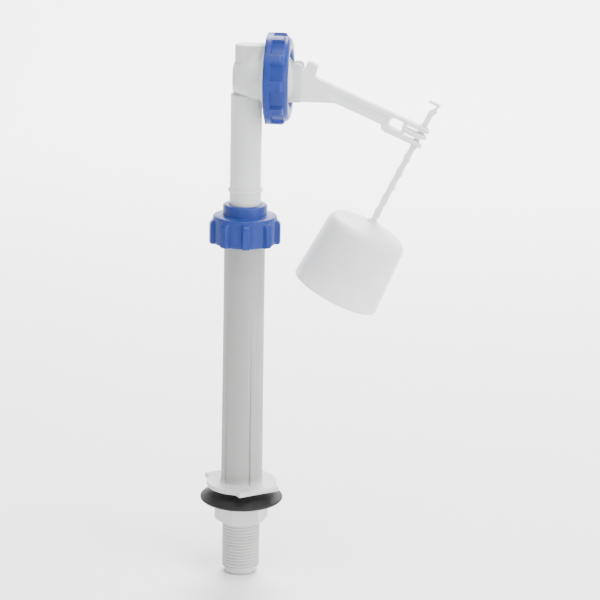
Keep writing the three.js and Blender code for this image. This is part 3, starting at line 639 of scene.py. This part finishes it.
def backnut():
    angles = backnut_angles()
    rings = []
    height = BACKNUT_TOP_Z - BACKNUT_BOTTOM_Z
    edge_steps = (0, 0.15, 0.4, 0.7, 1.1, 1.6)
    for z in (*edge_steps, height / 2, *(height - step for step in reversed(edge_steps))):
        from_edge = min(z, height - z)
        cone = 13.5 + 1.55 * from_edge + 0.3 * (from_edge > 0)
        ring = []
        for a in angles:
            radius = min(hexagon_radius(a, BACKNUT_FLATS), cone, BACKNUT_CORNER_R)
            ring.append(about_z(radius, a, BACKNUT_BOTTOM_Z + z))
        rings.append(ring)
    for r, z in ((11.6, height), (BACKNUT_BORE_R, height - 0.7), (BACKNUT_BORE_R, 0.7), (11.6, 0)):
        rings.append([about_z(r, a, BACKNUT_BOTTOM_Z + z) for a in angles])
    piece(lofted("hexagon_backnut", rings), "backnut", "column_plastic", "backnut")


# ---- collar nut ----


def collar_nut():
    """A ribbed skirt, then a flat shoulder and a plain neck."""
    centres = [math.radians(-81 + 360 / COLLAR_RIBS * i) for i in range(COLLAR_RIBS)]
    half, edge = 2.15, 0.55
    angles = ribbed_angles(centres, half, COLLAR_RIB_R - 1, edge, 7)
    rings = []
    for h in (0, 0.15, 0.4, 0.8, 2, 4, 6, 8, 9.5, 10.4, 11.2, 11.7, 12.1, 12.4, 12.7, 12.9):
        chamfer = 0.5 * (1 - smoothstep(h, 0, 0.8))
        body = COLLAR_R - chamfer
        top_round = 3.0 - math.sqrt(max(0, 9 - max(0, h - 10.2) ** 2))
        rib = max(body, COLLAR_RIB_R - chamfer - top_round)
        ring = []
        for a in angles:
            up = rib_share(a, centres, half, COLLAR_RIB_R - 1, edge)
            ring.append(about_z(body + (rib - body) * up, a, COLLAR_BOTTOM_Z + h))
        rings.append(ring)
    upper = filleted([
        (COLLAR_R, 151.0), (COLLAR_R, 153.1, 1.9), (12.0, 153.5, 0.5), (COLLAR_NECK_R, COLLAR_TOP_Z, 1.4),
        (8.75, COLLAR_TOP_Z, 0.5), (8.75, 156.0, 0.2), (9.95, 155.5, 0.2), (11.6, 151.3, 0.2),
        (12.75, 150.8, 0.2), (12.75, 138.6, 0.3), (13.3, COLLAR_BOTTOM_Z, 0.1),
        (16.5, COLLAR_BOTTOM_Z)], False)
    for r, z in upper[1:-1]:
        rings.append([about_z(r, a, z) for a in angles])
    piece(lofted("ribbed_collar_nut", rings), "collar_nut", "blue_plastic", "collar_nut")


# ---- riser and valve head ----


def head_neck():
    """The block that runs straight forward from the head's top to the dish behind the cap."""
    section = filleted([(-HEAD_HALF_Y, 220), (HEAD_HALF_Y, 220), (HEAD_HALF_Y, HEAD_TOP_Z, 1.5),
                        (-HEAD_HALF_Y, HEAD_TOP_Z, 1.5)])
    return lofted("neck", [[(x, y, z) for y, z in section] for x in (0, 5, 10)], False)


def riser():
    tube = turned("valve_riser", [
        (0.01, RISER_BOTTOM_Z), (RISER_R, RISER_BOTTOM_Z, 0.3), (RISER_R, GROOVE_BOTTOM_Z, 0.1),
        (GROOVE_R, GROOVE_BOTTOM_Z, 0.1), (GROOVE_R, GROOVE_TOP_Z, 0.1), (RISER_R, GROOVE_TOP_Z, 0.1),
        (RISER_R, STOP_RING_Z - 0.4, 0.2), (STOP_RING_R, STOP_RING_Z, 0.35),
        (STOP_RING_R, STOP_RING_Z + 1.4, 0.35), (8.35, STOP_RING_Z + 1.8, 0.3), (8.35, 218.8, 0.9),
        (6.7, 220, 0.6),
        (HEAD_HALF_Y, 236, 4), (HEAD_HALF_Y, HEAD_TOP_Z, 1.5), (0.01, HEAD_TOP_Z)], closed=False)
    barrel = turned("barrel", [
        (0.01, -6.9), (7.9, -6.9, 1.0), (9.3, -4.4, 2), (BARREL_R - 1.3, -1.4, 2), (BARREL_R - 0.2, 1.6, 2),
        (BARREL_R, 4, 2), (BARREL_R, 8.4, 1.2), (DISH_R - 1.5, 9.7, 0.4),
        (DISH_R, 10.1, 0.3), (DISH_R, 12.6, 0.2), (15.5, 12.6, 0.1), (15.5, 10.9, 0.1), (0.01, 10.9)],
        about_cap, closed=False)
    jacket = turned("jacket", [
        (0.01, RISER_BOTTOM_Z - 1), (RISER_BORE_R, RISER_BOTTOM_Z - 1), (RISER_BORE_R, 196, 2),
        (NECK_BORE_R, 201, 2), (NECK_BORE_R, 216, 1), (0.01, 216)], closed=False)
    whole = add(add(tube, head_neck()), barrel)
    piece(cut(whole, jacket), "riser", "white_plastic", "riser_head")


def diaphragm():
    """On the valve the rim stays clamped while the middle goes with the bush. Here the rubber is made in
    sectors, each one lofted along its own radius, and left in its resting shape."""
    profile = filleted([
        (2.7, 13.8), (4.6, 13.8), (6.5, 13.8, 1), (8.5, 13.3, 1), (9.5, 13.3), (10.5, 13.3), (11.5, 13.3),
        (12.5, 13.3, 0.6), (14.8, 12.9, 0.6), (18.4, 12.9, 0.2), (18.4, 14.3, 0.2), (13.8, 14.3, 0.6),
        (12.0, 14.6, 0.6), (11, 14.6), (10, 14.6), (9.0, 14.6, 0.6), (7.0, 15.0, 1), (4.6, 15.0),
        (2.7, 15.0)])
    step = 2 * math.pi / DIAPHRAGM_SECTORS
    for i in range(DIAPHRAGM_SECTORS):
        angles = [step * (i - 0.5 + k / 8) for k in range(9)]
        rings = [[about_cap(r, a, x) for r, x in profile] for a in angles]
        sector = lofted(f"diaphragm_sector_{i + 1}", rings, False)
        dress(sector, "black_rubber")
        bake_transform(sector)
        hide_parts("diaphragm")


# ---- cap nut and cover ----


def cap_profile(x):
    """The cap's own radius at a distance from its rear rim: a raised rear rim, a valley, a rolled front."""
    rim = CAP_R - (CAP_R - CAP_VALLEY_R) * smoothstep(x, 3.3, 4.0)
    rear = 0.7 * (1 - smoothstep(x, 0, 0.9))
    roll = max(0, x - 9.7)
    front = 3.2 - math.sqrt(max(0, 3.2 ** 2 - roll ** 2))
    return rim - rear - front


def cap_nut():
    centres = [math.radians(1.5 + 360 / CAP_RIBS * i) for i in range(CAP_RIBS)]
    half, edge = 2.7, 0.6
    angles = ribbed_angles(centres, half, CAP_R - 1, edge, 8)
    rings = []
    depth = CAP_FRONT_X - CAP_REAR_X
    stations = [
        0, 0.15, 0.4, 0.7, 0.9, 1.8, 2.8, 3.3, 3.5, 3.65, 3.8, 4.0, 4.6, 5.8, 7, 8, 8.4, 8.8, 9.2, 9.5, 9.8,
        10.0, 10.2, 10.35, 10.5, 10.8, 11.4, 11.9, 12.3, 12.6, 12.8]
    for x in stations:
        body = cap_profile(x)
        end = math.sqrt(max(0, 1 - (max(0, x - 8.4) / 2) ** 2))
        rib = max(body, body + (CAP_R - body) * end)
        ring = []
        for a in angles:
            up = rib_share(a, centres, half, CAP_R - 1, edge)
            ring.append(about_cap(body + (rib - body) * up, a, CAP_REAR_X + x))
        rings.append(ring)
    bore = filleted([
        (19.4, depth), (18.6, depth, 0.4), (16.4, depth - 0.2, 0.5), (CAP_HOLE_R, depth - 1, 0.6),
        (CAP_HOLE_R, 9.9, 0.2), (19.8, 9.9, 0.1), (19.8, 0, 0.1), (21, 0)], False)
    for r, x in bore[1:-1]:
        rings.append([about_cap(r, a, CAP_REAR_X + x) for a in angles])
    piece(lofted("ribbed_cap_nut", rings), "cap_nut", "blue_plastic", "cap_nut")


def ear():
    """One of the cover's two pivot ears, with a round post on top."""
    post_left_x = EAR_RIGHT_X - EAR_POST_WIDTH
    corners = [
        (18.2, ROOT_BOTTOM_Z), (EAR_RIGHT_X, ROOT_BOTTOM_Z, 2.4), (EAR_RIGHT_X, EAR_TOP_Z, 2.95),
        (post_left_x, EAR_TOP_Z, 2.95), (post_left_x, EAR_SHOULDER_Z, 0.8),
        (18.2, EAR_SHOULDER_Z)]
    return plate("ear", corners, (EAR_OUTER_Y - EAR_INNER_Y) / 2, 0.6)


def cover():
    disc = turned("pivot_cover", [
        (0.01, 17.3), (14.6, 17.3, 0.2), (14.8, 14.6, 0.2), (COVER_R, 14.6, 0.2), (COVER_R, 20.4, 0.3),
        (15.2, 20.4, 0.4), (15.0, 18.9, 0.3), (14.6, 18.9, 0.2), (14.2, 20.4, 1.5), (11.8, 22.4, 3),
        (8.2, 24.9, 1.6), (6.5, 25.2, 1), (0.01, 25.2)], about_cap, closed=False)
    slot = block("slot", (18.9, -EAR_INNER_Y, CAP_AXIS_Z - SLOT_REACH),
                 (27, EAR_INNER_Y, CAP_AXIS_Z + SLOT_REACH))
    disc = cut(disc, slot)
    for side in (-1, 1):
        disc = add(disc, moved(ear(), y=side * (EAR_OUTER_Y + EAR_INNER_Y) / 2))
    disc = add(disc, rod("nozzle", (18.2, 0, PILOT_Z), (20.6, 0, PILOT_Z), 1.7, 0.5))
    disc = cut(disc, rod("nozzle_hole", (15, 0, PILOT_Z), (24, 0, PILOT_Z), 0.6, 0.01, 24))
    disc = cut(disc, pivot_rod("pin_pockets", PIN_HALF_LENGTH + 0.3, PIVOT_R + 0.3, 0.01))
    piece(disc, "cover", "white_plastic", "diaphragm_cover")
    piece(pivot_rod("blind_pivot_pin", PIN_HALF_LENGTH, PIVOT_R, 0.3), "cover", "white_plastic", "pivot_pin")


def pivot_rod(name, half_length, radius, chamfer):
    return rod(name, (PIVOT[0], -half_length, PIVOT[1]), (PIVOT[0], half_length, PIVOT[1]), radius, chamfer)


# ---- float arm ----


def arm_outline():
    """The lever's outline in its own (u, v), with the two slots that open at its outer end."""
    return [
        (16, -ARM_DEPTH, 4), (42.3, -ARM_DEPTH, 0.8), (43.1, -RAIL_DEPTH + 0.5, 0.8), (44.4, -RAIL_DEPTH, 1),
        (66.5, -RAIL_DEPTH, 0.5), (66.4, -9.3, 0.4), (64.9, -9.3, 0.5), (64.5, -8.5, 0.4), (55, -8.5, 0.6),
        (55, -6.8, 0.6), (64.2, -6.8, 0.3), (64.8, -5.9, 0.4), (66.8, -5.9, 0.6), (66.9, -4, 0.6),
        (55, -4, 0.6), (55, -2.4, 0.6), (ARM_LENGTH - 0.2, -2.4, 0.5), (ARM_LENGTH - 0.1, -1.1, 0.6),
        (ARM_LENGTH - 1.7, 0, 0.8), (0.2, 0, 1.5),
    ]


def placed_on_arm(corners):
    return [(*on_arm(c[0], c[1]), *c[2:]) for c in corners]


def placed_on_stem(corners):
    """Corners given across and up the stem turned into (x, z)."""
    placed = []
    for across, up, *fillet in corners:
        x, _, z = on_stem(across, 0, up)
        placed.append((x, z, *fillet))
    return placed


def arm_blank():
    """The lever, its tab and its root, with the window near the tip."""
    tab = [(-0.7, 6.1, 0.6), (-4.9, 6.6, 0.6), (-6.5, 5.9, 0.6), (-6.7, 0.9, 1.2)]
    root = [
        (28.4, 233.9, 1), (24.25, 233.6, 0.8), (24.25, ROOT_BOTTOM_Z + 2.4, 1), (26.4, ROOT_BOTTOM_Z, 1.2),
        (46.6, ROOT_BOTTOM_Z, 5)]
    window = placed_on_arm([(45.7, -1.8, 2.7), (52.4, -1.8, 0.6), (53.5, -7.4, 0.6), (45.7, -7.4, 2.7)])
    return plate("lever_arm", placed_on_arm(arm_outline() + tab) + root, ARM_HALF_Y, 0.42, [window])


def float_arm():
    whole = arm_blank()
    panel_corners = [(9, -2.4, 1.5), (44.5, -2.4, 1.2), (44.5, -6.9, 1.2), (14, -6.9, 2)]
    for side in (-1, 1):
        panel = plate("panel", placed_on_arm(panel_corners), 0.6, 0.25)
        whole = cut(whole, moved(panel, y=side * (ARM_HALF_Y + 0.25)))
    way_corners = placed_on_stem([(-2.5, 40), (2.5, 40), (2.5, 66), (-2.5, 66)])
    whole = cut(whole, plate("stem_way", way_corners, STEM_HALF_Y + 0.35, 0.05))
    whole = cut(whole, pivot_rod("pin_hole", 8, PIVOT_R + 0.3, 0.01))
    whole = cut(whole, rod("pad_socket", pad_point(-1.5), pad_point(2.5), 2.5, 0.05))
    piece(whole, "float_arm", "milky_plastic", "float_arm")


def pad_point(depth):
    """A point behind the pilot pad's face, in the arm's resting place."""
    x = PAD_FACE_X - PIVOT[0] + depth
    z = PILOT_Z - PIVOT[1]
    sin, cos = math.sin(CLOSING_ANGLE), math.cos(CLOSING_ANGLE)
    return (PIVOT[0] + x * cos + z * sin, 0, PIVOT[1] - x * sin + z * cos)


# ---- float ----


def float_stem():
    right, left = [], []
    tip = STEM_HALF_WIDTH + 0.65
    for i in range(STEM_TEETH):
        s = 3.4 + STEM_TOOTH_PITCH * i
        right += [(STEM_HALF_WIDTH, s, 0.1), (tip, s + 0.5, 0.25), (STEM_HALF_WIDTH, s + 4, 0.8)]
        left += [(-STEM_HALF_WIDTH, s + 0.2, 0.8), (-tip, s + 3.7, 0.25), (-STEM_HALF_WIDTH, s + 4.2, 0.1)]
    hook = [
        (1.5, -2.2, 0.4), (2.6, -0.6, 0.35), (2.6, 0.6, 0.35), (1.7, 1.4, 0.4), (2.8, 4.6, 0.4),
        (-3.9, 4.4, 0.4), (-3.9, 3.1, 0.4), (1.2, 3.2, 0.4), (0.2, 1.2, 0.5), (-1.5, -1, 0.4)]
    hook = [(across, STEM_LENGTH + up, fillet) for across, up, fillet in hook]
    foot = [(-1.5, -6.5, 0.3), (1.5, -6.5, 0.3)]
    outline = placed_on_stem([*foot, *right, *hook, *reversed(left)])
    piece(plate("toothed_stem", outline, STEM_HALF_Y, 0.12), "float", "milky_plastic", "float_stem")


def float_cup():
    top_inner_r = FLOAT_TOP_R - FLOAT_WALL - 0.2
    corners = [
        (FLOAT_RIM_R, -FLOAT_HEIGHT, 0.5), (FLOAT_TOP_R, -4.6, 6), (9, -1.6, 6), (3.4, -0.6, 0.6),
        (2.9, 0.7, 0.3), (0.01, 0.7), (0.01, -8.2), (3.2, -8.2, 0.4), (3.4, -FLOAT_WALL - 0.6, 0.8),
        (9, -1.6 - FLOAT_WALL, 6), (top_inner_r, -4.6 - FLOAT_WALL, 5),
        (FLOAT_RIM_R - FLOAT_WALL, -FLOAT_HEIGHT, 0.5)]
    cup = turned("float_cup_shell", corners, about_stem, 128)
    socket_corners = placed_on_stem([(-1.8, -6.9), (1.8, -6.9), (1.8, 4), (-1.8, 4)])
    socket = plate("socket", socket_corners, STEM_HALF_Y + 0.3, 0.05)
    piece(cut(cup, socket), "float", "float_plastic", "float_cup")


# ---- stage ----

FLOOR_GAP = 0.0005
WALL_INNER_R = 1.1
WALL_OUTER_R = 2.3
WALL_HEIGHT = 0.9


def stage_floor():
    """A round floor that curves up into a low wall, so that its edge shows from no side."""
    bm = bmesh.new()
    sides = 96
    rings = []
    for i in range(25):
        radius = 0.05 + 0.1 * i
        rise = WALL_HEIGHT * smoothstep(radius, WALL_INNER_R, WALL_OUTER_R) ** 2
        height = TAIL_END_Z * MM - FLOOR_GAP + rise
        rings.append([bm.verts.new(about_z(radius, a, height)) for a in even_angles(sides)])
    bm.faces.new(rings[0])
    for low, high in zip(rings, rings[1:]):
        for i in range(sides):
            k = (i + 1) % sides
            bm.faces.new((low[i], high[i], high[k], low[k]))
    for face in bm.faces:
        face.smooth = True
    mesh = bpy.data.meshes.new("stage_floor")
    bm.to_mesh(mesh)
    bm.free()
    floor = bpy.data.objects.new("stage_floor", mesh)
    bpy.context.scene.collection.objects.link(floor)
    floor.data.materials.append(plastic("pale_paper", (0.93, 0.93, 0.93), 0.75, spread=0.01))


def area_light(name, place, target, size, power):
    data = bpy.data.lights.new(name, "AREA")
    data.shape = "DISK"
    data.size = size
    data.energy = power
    light = bpy.data.objects.new(name, data)
    bpy.context.scene.collection.objects.link(light)
    light.location = place
    light.rotation_euler = (Vector(target) - Vector(place)).to_track_quat("-Z", "Y").to_euler()


def studio():
    stage_floor()
    middle = (0.03, 0, 0.1)
    area_light("key", (0.3, -0.35, 1.5), middle, 0.9, 35)
    area_light("side", (1.2, -0.7, 0.5), middle, 0.7, 16)
    area_light("backdrop", (0.05, 1.5, 1.4), (0.05, 1.45, -0.05), 1.4, 130)
    world = bpy.data.worlds.new("studio")
    world.use_nodes = True
    background = world.node_tree.nodes["Background"]
    background.inputs["Color"].default_value = (1, 1, 1, 1)
    background.inputs["Strength"].default_value = 0.42
    bpy.context.scene.world = world


# ---- camera, fitted to the photo ----

CAMERA_TARGET = (0.03055, 0, 0.10701)
CAMERA_DISTANCE = 1.2614
CAMERA_AZIMUTH = math.radians(5)
CAMERA_ELEVATION = math.radians(15.09)
CAMERA_ROLL = math.radians(1.12)
CAMERA_LENS = 139.8


def camera():
    sin_a, cos_a = math.sin(CAMERA_AZIMUTH), math.cos(CAMERA_AZIMUTH)
    sin_e, cos_e = math.sin(CAMERA_ELEVATION), math.cos(CAMERA_ELEVATION)
    outward = Vector((sin_a * cos_e, -cos_a * cos_e, sin_e))
    level_right = Vector((cos_a, sin_a, 0))
    level_up = outward.cross(level_right)
    right = level_right * math.cos(CAMERA_ROLL) + level_up * math.sin(CAMERA_ROLL)
    up = outward.cross(right)
    place = Vector(CAMERA_TARGET) + outward * CAMERA_DISTANCE
    data = bpy.data.cameras.new("camera")
    data.lens = CAMERA_LENS
    data.sensor_width = 36
    obj = bpy.data.objects.new("camera", data)
    bpy.context.scene.collection.objects.link(obj)
    turn = Matrix((right, up, outward)).transposed().to_4x4()
    obj.matrix_world = Matrix.Translation(place) @ turn
    bpy.context.scene.camera = obj


# ---- assembly ----


def dress_cad_pieces():
    """The pieces that keep their CAD shape get their finishes too."""
    slot_of_node = {subpart["node"]: subpart["material_slot"] for subpart in frame["record"]["subparts"]}
    for name, node in frame["nodes"].items():
        dress(node, slot_of_node[name])


lower_column()
washer()
backnut()
collar_nut()
riser()
diaphragm()
cap_nut()
cover()
float_arm()
float_stem()
float_cup()
dress_cad_pieces()
studio()
camera()
